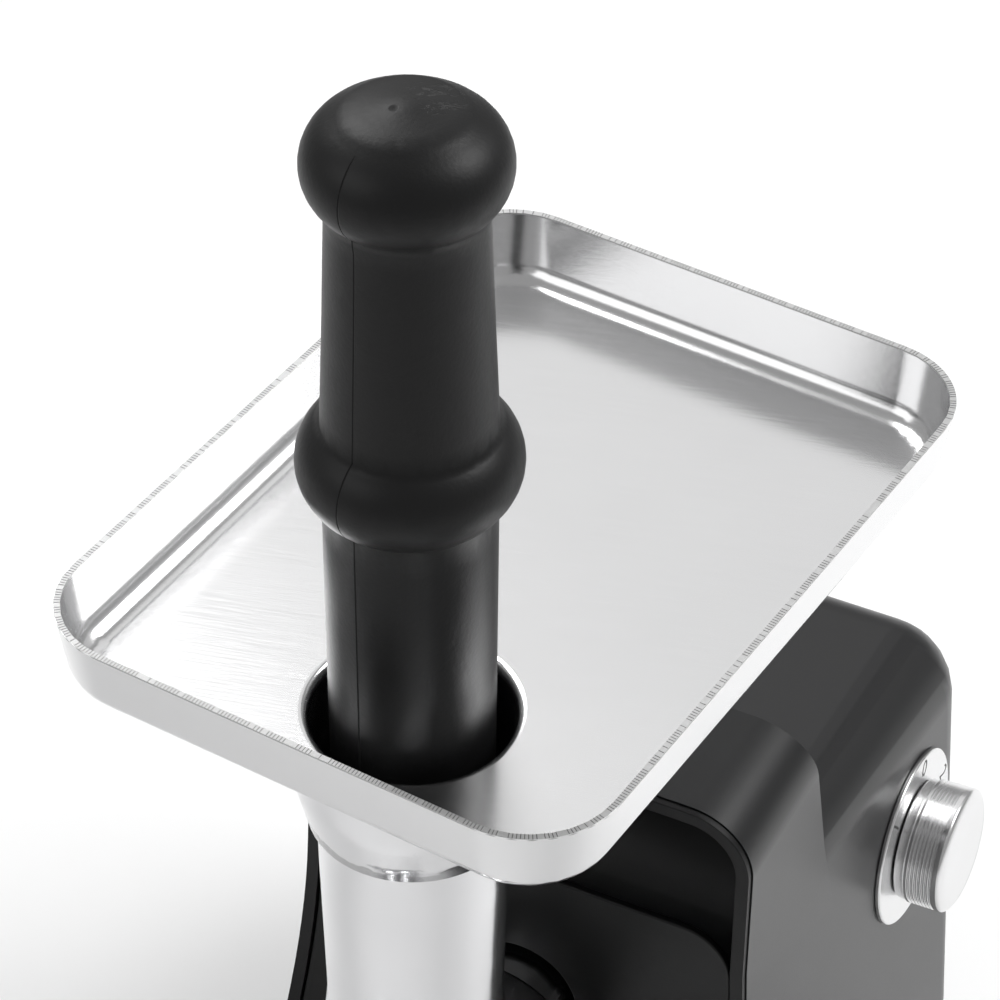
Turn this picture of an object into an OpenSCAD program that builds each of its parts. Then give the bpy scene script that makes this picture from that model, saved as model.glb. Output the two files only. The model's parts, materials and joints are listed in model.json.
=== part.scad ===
// Electric meat grinder with a pressed tray, a cast grinding head and a pusher.
// Origin: middle of the footprint on the counter. +Z is up, the head points to -Y, the knob is at +X.
// "s" is a distance behind the feed tube's axis, so y = tube_y + s.

/* [Tray] */
// Width of the tray at its rim, across its front edge
tray_w = 152; // [135:1:185]
// Length of the tray at its rim, front to rear
tray_l = 207; // [175:1:250]
// Height of the rim above the tray's floor
tray_h = 20; // [17:1:32]
// Height of the tray's floor above the counter
floor_z = 300; // [290:1:360]
// Radius of the tray's corners at the rim
tray_corner = 24; // [22:1:40]
// Radius between the floor and the walls
tray_fillet = 8; // [6:1:15]
// How far a wall leans inwards from the rim down to the floor
tray_lean = 2; // [1:0.5:8]
// Thickness of the tray's sheet
tray_t = 1.2; // [0.8:0.1:2]
// Distance from the tray's front rim to the feed hole's axis
tray_front = 43.6; // [42:0.2:60]
// Sideways distance from the tray's middle to the feed hole's axis
tray_side = 7.8; // [0:0.2:12]
// Turn of the tray on the feed tube, seen from above
tray_turn = -5.7; // [-10:0.1:10]
// Radius of the feed hole in the tray
hole_r = 24.8; // [24:0.2:28]
// Radius of the rolled lip round the feed hole
lip_r = 2.5; // [2:0.1:4]
// Depth of the tray's straight neck under its floor
neck_depth = 16; // [12:1:20]
// Depth of the tray's funnel under its floor
funnel_depth = 38; // [34:1:44]

/* [Feed tube] */
// Radius of the feed tube's bore
tube_bore_r = 20.6; // [17:0.1:24.8]
// Wall of the feed tube just below its mouth
tube_top_t = 2.9; // [2.4:0.1:4.4]
// Wall of the feed tube at its narrowest
tube_low_t = 1.6; // [1.4:0.1:3.4]
// Height of the tube's narrowest place above the counter
tube_low_z = 205; // [195:1:215]
// Wall of the tube's mouth
mouth_t = 3.8; // [2:0.1:4.6]
// Turning clearance between the tray's neck and the tube's mouth
swivel_gap = 0.05; // [0.02:0.01:0.1]

/* [Pusher] */
// Clearance between the pusher's shaft and the feed tube
pusher_gap = 0.4; // [0.4:0.1:4]
// Radius of the pusher's stop ring
ring_r = 26.1; // [24:0.1:30]
// Height of the middle of the stop ring above the tray's floor
ring_lift = 76.7; // [20:0.1:80]
// How much narrower the shaft is at its tip than at the ring
shaft_taper = 0.5; // [0:0.1:2]
// Length of the shaft below the middle of the ring
shaft_l = 128.7; // [110:0.1:135]
// Length of the grip above the middle of the ring
grip_l = 96.1; // [85:0.1:120]
// Radius of the ball at the end of the grip
ball_r = 23.2; // [21:0.1:26]
// Radius of the neck under the ball
grip_neck_r = 18.2; // [14:0.1:19.5]

/* [Grinding head] */
// Height of the barrel's axis above the counter
axis_z = 143; // [138:1:150]
// Bore of the barrel round the auger
barrel_bore_r = 24.5; // [20.4:0.1:29.4]
// Wall of the barrel
barrel_t = 4; // [3:0.1:5]
// Width of the cutting plate's seat round the bore
plate_seat = 2.5; // [2:0.1:3]
// Thickness of the cutting plate
plate_t = 5; // [4:0.5:6]
// Radius of the holes in the cutting plate
plate_hole_r = 1.9; // [1:0.1:2.1]
// Wall of the ring nut round its thread
nut_t = 5.4; // [5:0.1:8]
// Clearance between the auger's flight and the barrel
auger_gap = 0.5; // [0.3:0.1:1]
// Pitch of the auger's flight
auger_pitch = 26; // [20:1:32]
// Radius of the head's rear neck
neck_r = 15.5; // [13:0.1:18.6]
// Gap between the neck and the mouth of its socket
socket_gap = 2.5; // [2.3:0.1:4]

/* [Body] */
// Half of the body's width above the crease
side_w = 65; // [62:0.5:75]
// Height of the crease where the sides start to spread
crease_z = 180; // [170:1:190]
// Spread of the sides below the crease, in degrees
side_draft = 2.6; // [1:0.1:4]
// Height of the hood's top above the counter
hood_z = 233; // [230:1:250]
// Radius of the hood's top edges
hood_r = 18; // [14:1:22]
// Distance from the feed tube's axis to the front of the hood
front_s = 60.5; // [60:0.5:64]
// Distance from the feed tube's axis to the rear wall
body_rear = 230; // [228:1:260]
// Height of the rear section's top at the rear
rear_top_z = 174.5; // [165:0.5:182]
// Radius of the rear top corners
rear_r = 22; // [16:1:26]
// Radius of the shoulders beside the hood
shoulder_r = 15; // [10:1:20]
// Rise of the rear section's top for each unit towards the front
top_slope = 0.145; // [0.1:0.005:0.16]
// Wall of the housing
wall = 2.2; // [1.8:0.1:3]
// Height of the feet
foot_h = 6; // [4:0.5:8]
// Height of the seam between the base and the housing
seam_z = 14; // [13:0.5:18]

/* [Front] */
// Distance from the feed tube's axis to the front of the foot
toe_s = 24.2; // [20:0.2:30]
// Radius of the hollow sweep from the hood to the foot
sweep_r = 150; // [130:1:170]
// Width of the black rim round the front opening
rim_w = 4.1; // [3.9:0.1:5.5]
// Height of the front panel's top edge
lip_z = 190; // [186:1:196]
// Radius of the front panel's top corners
lip_corner = 14; // [8:1:18]
// Radius of the hollow behind the front panel
scoop_r = 36; // [30:1:38]

/* [Controls] */
// Distance from the feed tube's axis to the knob
knob_s = 181; // [175:1:190]
// Height of the knob on the side
knob_z = 127; // [122:1:132]
// Radius of the knob
knob_r = 18.6; // [15:0.1:21.6]
// How far the knob stands out from the dial
knob_h = 14.7; // [13:0.1:20]
// Width of the dial plate round the knob
dial_rim = 8.2; // [5:0.1:9]
// Thickness of the dial plate
dial_t = 1.6; // [1:0.1:2]
// Number of grooves round the knob
groove_count = 7; // [3:1:7]
// Radius of the lock button
lock_r = 7; // [6:0.1:8]
// Travel of the lock button
lock_travel = 4; // [3:0.1:4.5]

/* [Gears] */
// Teeth on the output gear
output_teeth = 40; // [40]
// Teeth on the second wheel
second_teeth = 42; // [42]
// Teeth on the first wheel
first_teeth = 48; // [48]
// Teeth on every pinion
pinion_teeth = 12; // [12]
// Play between meshing teeth
backlash = 0.3; // [0.2:0.05:0.4]

/* [Hidden] */
$fn = 72;

// Colours
steel = "silver";
bright = "gainsboro";
gunmetal = [0.42, 0.43, 0.45];
black = [0.08, 0.08, 0.09];
copper = "peru";

// Small play and seats
eps = 0.01;
fit = 0.05;
seat = 0.1;
play = 0.3;

// Reach of the whole machine in front of and behind the feed tube's axis
nut_lip = 3;
plate_front = 52;
nut_front = plate_front + seat + nut_lip;
gland_t = 2;
tube_y = (nut_front - body_rear - gland_t) / 2;

// Body
base_z = foot_h;
base_r = 14;
scoop_t = 2;
liner_t = 1.6;
opening_r = hood_r - rim_w - 0.1;
ridge_top_s = front_s + 40.5;
ridge_lean = 14 / 53;
scoop_s = 60;
scoop_top = hood_z - wall - play;

// Barrel stations behind the feed tube's axis
plate_back = plate_front - plate_t;
head_front = plate_front - 2;
blade_t = 4;
flight_front = plate_back - blade_t - 2;
flight_back = 24;
barrel_taper = 26;
neck_start = 49;
neck_end = 81;
socket_front = front_s - 12;
case_front = 82;
barrel_r = barrel_bore_r + barrel_t;
plate_r = barrel_bore_r + plate_seat;
thread_r = plate_r + 4;
nut_r = thread_r + seat + nut_t;
socket_r = neck_r + socket_gap;
tube_top_r = tube_bore_r + tube_top_t;
tube_low_r = tube_bore_r + tube_low_t;
pusher_r = tube_bore_r - pusher_gap;
dial_r = knob_r + dial_rim;
auger_core_r = 10;
auger_tail_r = 8;
hex_af = 12;

// Gear train: modules, widths and axes
module_1 = 1;
module_2 = 1.25;
module_3 = 1.5;
out_z = axis_z;
motor_drop = 65;
motor_z = axis_z - motor_drop;
pitch_3 = module_3 * (output_teeth + pinion_teeth) / 2;
pitch_2 = module_2 * (second_teeth + pinion_teeth) / 2;
pitch_1 = module_1 * (first_teeth + pinion_teeth) / 2;
second_x = -pitch_3 * sin(30);
second_z = axis_z - pitch_3 * cos(30);
second_far = norm([second_x, second_z - motor_z]);
second_dir = atan2(second_z - motor_z, second_x);
first_turn = acos((pow(pitch_1, 2) + pow(second_far, 2) - pow(pitch_2, 2)) / (2 * pitch_1 * second_far));
first_dir = second_dir - first_turn;
first_x = pitch_1 * cos(first_dir);
first_z = motor_z + pitch_1 * sin(first_dir);
layer_3 = [94, 103];
layer_2 = [105, 111];
layer_1 = [113.5, 118.5];
case_back = 121;
cover_t = 3.5;
pin_r = 3;

// Motor stations behind the feed tube's axis
shaft_r = 4;
bearing_r = 11;
bearing_l = 7;
fan_span = [130.5, 137];
fan_r = 30;
stator_span = [149, 187];
stator_w = 74;
winding_out = 9;
armature_r = 20.8;
commutator_span = [199, 210];
commutator_r = 11;
bracket_s = 211;
bolt_offset = 33;

function arc(cx, cy, r, a0, a1, n) =
    [for (i = [0:n]) let (a = a0 + (a1 - a0) * i / n) [cx + r * cos(a), cy + r * sin(a)]];
function reversed(list) = [for (i = [len(list) - 1:-1:0]) list[i]];
function half_w(z) = side_w + max(0, crease_z - z) * tan(side_draft);
function top_z(s) = rear_top_z + (body_rear - rear_r - s) * top_slope;

// Front of the body seen from the side, set back by o: straight, hollow sweep, toe
sweep_top = 172;
sweep_a = 22;
toe_r = 40;
toe_drop = toe_r * sin(sweep_a);
sweep_s = front_s - sweep_r * (1 - cos(sweep_a));
toe_in = toe_r * (1 - cos(sweep_a));
lean_l = (sweep_s - toe_in - toe_s) / sin(sweep_a);
toe_z = sweep_top - sweep_r * sin(sweep_a) - lean_l * cos(sweep_a) - toe_drop;
function front_profile(o) = concat(
    [[front_s + o, hood_z + 10]],
    [for (p = arc(0, 0, sweep_r + o, 0, sweep_a, 8)) [front_s - sweep_r + p[0], sweep_top - p[1]]],
    [for (p = arc(0, 0, toe_r - o, sweep_a, 0, 5)) [toe_s + toe_r - p[0], toe_z + p[1]]],
    [[toe_s + o, -5]]
);

// Puts its children where the feed tube's axis is s = 0
module machine() {
    translate([0, tube_y, 0]) children();
}

// Extrudes a front view (x, z) from s0 back to s1
module front_view(s0, s1) {
    translate([0, s1, 0]) rotate([90, 0, 0]) linear_extrude(s1 - s0) children();
}

// Extrudes a side view (s, z) from x0 to x1
module side_view(x0, x1) {
    translate([x0, 0, 0]) rotate([90, 0, 90]) linear_extrude(x1 - x0) children();
}

// Turns a profile of [radius, s] round an axis along Y
module turned(x, z, profile) {
    translate([x, 0, z]) rotate([-90, 0, 0]) rotate_extrude() polygon(profile);
}

// Rod along Y
module rod(x, z, r, s0, s1) {
    translate([x, s0, z]) rotate([-90, 0, 0]) cylinder(r = r, h = s1 - s0);
}

// Places its children on the knob's side with their Z along the side's normal
module on_side() {
    machine() translate([half_w(knob_z), knob_s, knob_z]) rotate([0, 90 - side_draft, 0]) children();
}

// Front view of the body, set in by i, up to top with corner radius r
module outline(i, top, r) {
    w = half_w(top - r) - i;
    z = min(crease_z, top - r);
    difference() {
        polygon([[-w, top], [w, top], [w, z], [half_w(0) - i, 0], [i - half_w(0), 0], [-w, z]]);
        for (m = [0, 1]) mirror([m, 0]) difference() {
            translate([w - r, top - r]) square(r + 1);
            translate([w - r, top - r]) circle(r);
        }
    }
}

// Rounded form of the lower body, set in by i
module lower_form(i) {
    hull() for (m = [-1, 1]) {
        lower_corner(m, body_rear - rear_r, rear_top_z - rear_r, rear_r, i);
        lower_corner(m, front_s, top_z(front_s) - shoulder_r, shoulder_r, i);
        lower_corner(m, body_rear - base_r, base_z + base_r, base_r, i);
        lower_corner(m, toe_s, base_z + base_r, base_r, i);
    }
}

module lower_corner(m, s, z, r, i) {
    translate([m * (side_w + (crease_z - z) * tan(side_draft) - r / cos(side_draft)), s, z])
        sphere(r - i, $fn = 32);
}

// Form of the hood over the front, set in by i
module hood_form(i) {
    intersection() {
        front_view(front_s - 5, body_rear) outline(i, hood_z - i, hood_r - i);
        side_view(-side_w - 5, side_w + 5) polygon([
            [front_s - 5, 150], [ridge_s(150) - i, 150], [ridge_s(hood_z + 5) - i, hood_z + 5],
            [front_s - 5, hood_z + 5]
        ]);
    }
}

function ridge_s(z) = ridge_top_s + (hood_z - z) * ridge_lean;

// Everything in front of the front profile set back by o
module front_cut(o) {
    side_view(-100, 100) polygon(concat(front_profile(o), [[-60, -5], [-60, hood_z + 10]]));
}

// Sheet that follows the front profile from o0 to o1
module front_sheet(o0, o1) {
    side_view(-100, 100) polygon(concat(front_profile(o0), reversed(front_profile(o1))));
}

boss_x = side_w - 11;
foot_x = side_w - 11;
boss_spots = [for (m = [-1, 1], s = [72, 192]) [m * boss_x, s]];
foot_spots = [for (m = [-1, 1], s = [46, 211]) [m * foot_x, s]];
boss_r = 5;
boss_h = 28;
head_r = 4;
head_h = 2;

module housing() color(gunmetal) machine() {
    difference() {
        union() {
            lower_form(0);
            hood_form(0);
        }
        lower_form(wall);
        hood_form(wall);
        front_cut(2.1);
        translate([-100, 0, -1]) cube([200, 260, seam_z + 1]);
        rear_vents();
        rod(gland_x, gland_z, gland_r + fit, body_rear - 5, body_rear + 1);
        translate([half_w(knob_z), knob_s, knob_z]) rotate([0, 90 - side_draft, 0])
            translate([0, 0, -5]) cylinder(r = bush_r + play, h = 10);
    }
    for (p = boss_spots) translate([p[0], p[1], seam_z + seat]) difference() {
        union() {
            cylinder(r = boss_r, h = boss_h);
            translate([p[0] > 0 ? 0 : boss_x - half_w(seam_z) + wall - 0.4, -1.5, 0])
                cube([half_w(seam_z) - boss_x - wall + 0.4, 3, boss_h]);
        }
        translate([0, 0, -1]) cylinder(r = screw_r + fit, h = boss_h - 4);
    }
}

gland_x = 40;
gland_z = 34;
gland_r = 7;
cord_r = 3.5;
bush_r = 6;
screw_r = 1.9;

module rear_vents() {
    for (i = [0:6]) translate([-32, body_rear - 5, 66 + 8 * i]) cube([64, 10, 3.5]);
}

module front_bezel() color(black) machine() {
    intersection() {
        front_sheet(0, 2);
        front_view(0, front_s + 10) difference() {
            outline(0.4, hood_z - 0.4, hood_r - 0.4);
            outline(rim_w, hood_z - rim_w, opening_r);
            translate([-100, 0]) square([200, seam_z + seat]);
        }
    }
    front_view(front_s + 2 - eps, ridge_top_s - wall - play) difference() {
        outline(rim_w - liner_t, hood_z - rim_w + liner_t, opening_r + liner_t);
        outline(rim_w, hood_z - rim_w, opening_r);
        translate([-100, 0]) square([200, sweep_top]);
    }
    intersection() {
        front_view(front_s, ridge_top_s)
            outline(rim_w - liner_t / 2, hood_z - rim_w + liner_t / 2, opening_r + liner_t / 2);
        side_view(-side_w, side_w) polygon(concat(
            arc(scoop_s, scoop_z, scoop_r, -83, 0, 10),
            [[scoop_s + scoop_r, hood_z], [scoop_s + scoop_r + scoop_t, hood_z]],
            arc(scoop_s, scoop_z, scoop_r + scoop_t, 0, -83, 10)
        ));
    }
}

scoop_z = hood_z - 23;
panel_front = 0.8;
panel_back = 3.2;

module front_panel() color(black) machine() {
    difference() {
        intersection() {
            front_sheet(panel_front, panel_back);
            front_view(0, front_s + 10) difference() {
                outline(rim_w + play, lip_z, lip_corner);
                translate([-100, 0]) square([200, seam_z + seat]);
            }
        }
        rod(0, axis_z, socket_r, 40, 70);
        rod(lock_x, lock_z, lock_r + play, 40, 70);
    }
}

lock_x = -40;
lock_z = axis_z + 9;
lock_stem_r = 4;

module base_plate() color(black) machine() {
    difference() {
        intersection() {
            lower_form(0);
            translate([-100, 0, 0]) cube([200, 260, seam_z]);
        }
        front_cut(0);
        base_pocket(wall + 2, base_z + 3, seam_z + 1);
        for (p = boss_spots) translate([p[0], p[1], 0]) {
            cylinder(r = screw_r + play, h = 20);
            cylinder(r = head_r + play, h = base_z + head_h + play);
        }
        for (i = [0:4]) translate([-24, 192 + 6 * i, 0]) cube([48, 3, 20]);
        for (p = foot_spots) translate([p[0], p[1], 0]) cylinder(r = 3 + fit, h = 20);
    }
    for (p = boss_spots) translate([p[0], p[1], base_z + head_h + play]) difference() {
        cylinder(r = boss_r, h = seam_z - base_z - head_h - play);
        translate([0, 0, -1]) cylinder(r = screw_r + play, h = 20);
    }
    for (s = [stator_span[0] + 4, stator_span[1] - 9])
        translate([-28, s, base_z + 2]) cube([56, 5, motor_z - stator_w / 2 - base_z - 2]);
    translate([-7, case_front + 6, base_z + 2])
        cube([14, 22, motor_z - case_foot_r - case_wall - seat - base_z - 2]);
}

// Hollow of the base between two heights, set in by i from the lower form
module base_pocket(i, z0, z1) {
    intersection() {
        lower_form(i);
        translate([-100, toe_s + 4, z0]) cube([200, body_rear - toe_s, z1 - z0]);
    }
}

module rubber_feet() color(black) machine() {
    for (p = foot_spots) translate([p[0], p[1], 0]) {
        cylinder(r = 9, h = base_z);
        cylinder(r = 3, h = base_z + 3.4);
    }
}

module base_screws() color(steel) machine() {
    for (p = boss_spots) translate([p[0], p[1], base_z + play]) {
        cylinder(r = head_r, h = head_h);
        cylinder(r = screw_r, h = boss_h - 2);
    }
}

module head_socket() color(black) machine() {
    difference() {
        union() {
            rod(0, axis_z, socket_r + 5, socket_front, case_front);
            front_view(case_front - 4, case_front) hull() {
                translate([0, axis_z]) circle(socket_r + 5, $fn = 32);
                translate([lock_x, lock_z]) circle(9, $fn = 32);
            }
        }
        front_cut(panel_back + seat);
        rod(0, axis_z, socket_r, socket_front - 1, case_front - 6);
        rod(0, axis_z, neck_r + fit, case_front - 7, case_front + 1);
        rod(lock_x, lock_z, lock_stem_r + fit, case_front - 5, case_front + 1);
    }
}

module lock_button() color(black) machine() {
    turned(lock_x, lock_z, concat(
        [[0, lock_front], [lock_r - 1.5, lock_front]],
        arc(lock_r - 1.5, lock_front + 1.5, 1.5, -90, 0, 4),
        [[lock_r, 67], [lock_stem_r, 67], [lock_stem_r, case_front - 0.5], [0, case_front - 0.5]]
    ));
}

lock_front = 53.5;

module dial_plate() color(bright) on_side() {
    rotate_extrude() polygon([
        [bush_r + play, seat], [dial_r, seat], [dial_r, dial_t - 0.4], [dial_r - 0.4, dial_t],
        [bush_r + play, dial_t]
    ]);
}

knob_base = dial_t + 0.5;
groove_start = 4.2;
groove_pitch = 1.1;
groove_depth = 0.5;

// Outer outline of the knob as [radius, distance from the dial]
function knob_side() = concat(
    [[knob_r - 1, 0], [knob_r - 0.6, 0.6], [knob_r - 0.6, 3], [knob_r, 3.4]],
    [for (i = [0:groove_count - 1], p = [[0, 0], [groove_depth, 0.25], [groove_depth, 0.6], [0, 0.85]])
        [knob_r - p[0], groove_start + groove_pitch * i + p[1]]],
    [[knob_r, knob_h - 1.6], [knob_r - 1.8, knob_h - 0.3], [knob_r - 2.4, knob_h]]
);

module knob() color(bright) on_side() translate([0, 0, knob_base]) {
    difference() {
        rotate_extrude() polygon(concat([[0, 0]], knob_side(), [[0, knob_h]]));
        translate([0, 0, -1]) cylinder(r = bush_r + 1.4, h = 4);
        translate([0, 0, -1]) cylinder(r = 3 + 0.02, h = 11);
    }
}

module switch_shaft() color(steel) on_side() {
    translate([0, 0, -14]) cylinder(r = 3, h = 14 + knob_base + 9.5);
}

module rotary_switch() color(black) on_side() {
    difference() {
        union() {
            translate([-14, -14, -wall - 17]) cube([28, 28, 16.6]);
            translate([0, 0, -wall - 1]) cylinder(r = bush_r, h = wall + 1 + dial_t + 0.2);
        }
        translate([0, 0, -14.5]) cylinder(r = 3 + fit, h = 20);
    }
}

// Inner and outer line of the tray's funnel, then of the tube's mouth, as [radius, depth]
funnel_r = tube_bore_r + 0.1;
neck_out_r = hole_r + tray_t;
mouth_bore_r = neck_out_r + swivel_gap;
mouth_rim_z = floor_z - tray_t;

module tray() color(bright) translate([0, tube_y, floor_z]) rotate([0, 0, tray_turn]) {
    difference() {
        tray_form(0, tray_h);
        tray_form(tray_t, tray_h + 1);
        translate([0, 0, -5]) cylinder(r = hole_r + lip_r + 0.2, h = 10);
    }
    rotate_extrude() polygon(concat(
        arc(hole_r + lip_r, -lip_r, lip_r, 90, 180, 6),
        [[hole_r, -neck_depth], [funnel_r, -funnel_depth], [funnel_r + tray_t, -funnel_depth],
         [neck_out_r, -neck_depth]],
        arc(hole_r + lip_r, -lip_r, lip_r - tray_t, 180, 90, 6),
        [[hole_r + lip_r + 0.4, -tray_t], [hole_r + lip_r + 0.4, 0]]
    ));
}

// Solid outer form of the tray set in by i, from under the floor to the height top
module tray_form(i, top) {
    hull() for (x = [-1, 1], y = [-1, 1])
        translate([x * (tray_w / 2 - tray_corner) - tray_side,
                   y * (tray_l / 2 - tray_corner) + tray_l / 2 - tray_front, i - tray_t])
            rotate_extrude($fn = 64) polygon(concat(
                [[0, 0]],
                arc(tray_corner - tray_lean - tray_fillet, tray_fillet - i, tray_fillet - i, -90, 0, 6),
                [[tray_corner - i, top + tray_t - i], [0, top + tray_t - i]]
            ));
}

ring_z = floor_z + ring_lift;
ring_arc_r = 13.3;
ball_round = 12.7;
ring_half = sqrt(pow(ring_arc_r, 2) - pow(ring_arc_r - ring_r + pusher_r, 2));

module pusher() color(black) translate([0, tube_y, ring_z]) {
    ring_a = asin(ring_half / ring_arc_r);
    ball_z = grip_l - 3.1 - ball_round;
    rotate_extrude() polygon(concat(
        [[0, -shaft_l], [pusher_r - shaft_taper - 2, -shaft_l], [pusher_r - shaft_taper, 2 - shaft_l]],
        arc(ring_r - ring_arc_r, 0, ring_arc_r, -ring_a, ring_a, 12),
        [[grip_neck_r + 0.8, ball_z - 40], [grip_neck_r, ball_z - 16], [grip_neck_r, ball_z - 13.5],
         [grip_neck_r + 0.3, ball_z - 11.5]],
        arc(ball_r - ball_round, ball_z, ball_round, -50, 60, 12),
        [[ball_r - 10, grip_l - 2.5], [0, grip_l]]
    ));
}

mouth_low_z = floor_z - funnel_depth;
mouth_straight_z = floor_z - neck_depth;

module grinder_head() color(bright) machine() {
    difference() {
        union() {
            rotate_extrude() polygon([
                [0, axis_z], [tube_low_r + 4.3, axis_z], [tube_low_r + 4.3, axis_z + 20], [tube_low_r, tube_low_z],
                [tube_top_r, mouth_low_z - 5], [tube_top_r + 1, mouth_low_z - 3.4],
                [tube_top_r + 1.4, mouth_low_z - 1.6], [tube_top_r + 1.1, mouth_low_z],
                [mouth_bore_r + mouth_t, mouth_straight_z], [mouth_bore_r + mouth_t, mouth_rim_z],
                [0, mouth_rim_z]
            ]);
            turned(0, axis_z, concat(
                [[0, -head_front], [thread_r, -head_front], [thread_r, -38], [barrel_r, -36]],
                [for (p = arc(0, 0, 1, 0, 80, 8))
                    [neck_taper_r + (barrel_r - neck_taper_r) * p[0],
                     barrel_taper + (neck_start - barrel_taper) * p[1]]],
                [[neck_r, neck_start + 1], [neck_r, neck_end], [0, neck_end]]
            ));
            for (a = [90, 210, 330]) translate([0, 0, axis_z]) rotate([0, a, 0])
                translate([neck_r - 1, case_front - 13, -3]) cube([3, 5, 6]);
        }
        rotate_extrude() polygon([
            [0, axis_z], [tube_bore_r, axis_z], [tube_bore_r, mouth_low_z - 2],
            [funnel_r + tray_t + play, mouth_low_z - 1], [mouth_bore_r, mouth_straight_z - 1],
            [mouth_bore_r, floor_z - lip_r - play], [mouth_bore_r + lip_r - tray_t + seat, mouth_rim_z],
            [mouth_bore_r + lip_r - tray_t + seat, floor_z + 1], [0, floor_z + 1]
        ]);
        turned(0, axis_z, [
            [0, -head_front - 1], [plate_r + fit, -head_front - 1], [plate_r + fit, -plate_back],
            [barrel_bore_r, -plate_back], [barrel_bore_r, flight_back + 1], [bush_out_r + fit, flight_back + 3],
            [bush_out_r + fit, neck_end + 1], [0, neck_end + 1]
        ]);
        translate([-2, -head_front - 1, axis_z + plate_r - 2]) cube([4, plate_t - 1, 4.5]);
    }
}

neck_taper_r = neck_r + 3.5;
bush_out_r = neck_r - 3;

module auger() color(bright) machine() translate([0, 0, axis_z]) rotate([-90, 0, 0]) {
    flight_l = flight_back + flight_front;
    r = barrel_bore_r - auger_gap;
    difference() {
        translate([0, 0, -flight_front])
            linear_extrude(flight_l, twist = -360 * flight_l / auger_pitch, slices = 54, segments = 0)
                polygon(concat(arc(0, 0, auger_core_r - 1.5, -30, 30, 1), arc(0, 0, r, 16, -16, 2)));
        translate([0, 0, -flight_front - 1]) cylinder(r = auger_core_r - 1, h = flight_l + 2);
    }
    translate([0, 0, -flight_front]) cylinder(r1 = auger_core_r - 0.5, r2 = auger_core_r + 1.5, h = flight_l);
    translate([0, 0, flight_back - eps]) cylinder(r = auger_core_r + 1.5, h = 2.5);
    translate([0, 0, flight_back]) cylinder(r = auger_tail_r, h = neck_end - 10 - flight_back);
    translate([0, 0, neck_end - 11]) cylinder(d = hex_af / cos(30), h = 21, $fn = 6);
    translate([-4.5, -4.5, -plate_back + 0.3]) cube([9, 9, plate_back - flight_front]);
    translate([0, 0, -plate_front + 0.5]) cylinder(r = 3.95, h = plate_t + 2);
}

module auger_bush() color(black) machine() {
    turned(0, axis_z, [
        [auger_tail_r + fit, flight_back + 3.5], [bush_out_r, flight_back + 3.5],
        [bush_out_r, neck_end - 1], [auger_tail_r + fit, neck_end - 1]
    ]);
}

module cutting_blade() color(steel) machine()
    translate([0, -plate_back + seat, axis_z]) rotate([-90, 0, 0]) difference() {
        linear_extrude(blade_t) {
            circle(9.5);
            for (a = [0:90:270]) rotate(a) polygon(concat(
                [[-5, 5], [6, 6]], arc(-19, 14, 24, -8, 20, 5), [[-2.5, barrel_bore_r - 1.3], [-4.5, 14]]
            ));
        }
        translate([-4.6, -4.6, -1]) cube([9.2, 9.2, blade_t + 2]);
    }

hole_ring_r = 8.4;

module cutting_plate() color(steel) machine()
    translate([0, -plate_front, axis_z]) rotate([-90, 0, 0]) difference() {
        cylinder(r = plate_r, h = plate_t);
        translate([0, 0, -1]) cylinder(r = 4, h = plate_t + 2);
        for (k = [0:2], i = [1:6 * k + 7]) rotate(360 * i / (6 * k + 7))
            translate([hole_ring_r + k * (barrel_bore_r - 4.6 - hole_ring_r) / 2, 0, -1])
                cylinder(r = plate_hole_r, h = plate_t + 2);
    }

module ring_nut() color(bright) machine() difference() {
    turned(0, axis_z, [
        [barrel_bore_r - 0.5, -nut_front], [nut_r - 2, -nut_front], [nut_r, 2 - nut_front], [nut_r, -39],
        [nut_r - 2, -37], [thread_r + seat, -37], [thread_r + seat, -plate_front - seat],
        [barrel_bore_r - 0.5, -plate_front - seat]
    ]);
    for (i = [0:11]) translate([0, 0, axis_z]) rotate([0, 30 * i, 0])
        translate([nut_r + 2.2, -nut_front - 1, 0]) rotate([-90, 0, 0]) cylinder(r = 5, h = 24);
}

// Front view of the gearbox, grown by w round the wheels
module case_outline(w) {
    hull() {
        translate([0, out_z]) circle(module_3 * (output_teeth / 2 + 1) + 1 + w, $fn = 48);
        translate([second_x, second_z]) circle(module_2 * (second_teeth / 2 + 1) + 1 + w, $fn = 48);
        translate([first_x, first_z]) circle(module_1 * (first_teeth / 2 + 1) + 1 + w, $fn = 48);
        translate([0, motor_z]) circle(case_foot_r + w, $fn = 48);
    }
}

case_ears = [[30, 164], [-33, 160], [14, 69], [-14, 69]];
ear_r = 5;
case_foot_r = 11.5;
case_wall = 2.5;

module gearbox_case() color(black) machine() difference() {
    front_view(case_front, case_back) {
        case_outline(case_wall);
        for (p = case_ears) translate(p) circle(ear_r);
    }
    difference() {
        front_view(case_front + 4, case_back + 1) case_outline(0);
        rod(0, out_z, 15, case_front, layer_3[0] - 1);
        for (p = case_ears) rod(p[0], p[1], ear_r, case_front, case_back + 2);
    }
    rod(0, out_z, 11 + fit, case_front - 1, layer_3[0]);
    gear_pin_holes();
    case_screw_holes();
}

module gear_pin_holes() {
    rod(second_x, second_z, pin_r + 0.02, case_front + 1, case_back + 10);
    rod(first_x, first_z, pin_r + 0.02, case_front + 1, case_back + 10);
}

module case_screw_holes() {
    for (p = case_ears) rod(p[0], p[1], screw_r + fit, case_front + 4, case_back + 10);
}

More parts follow.
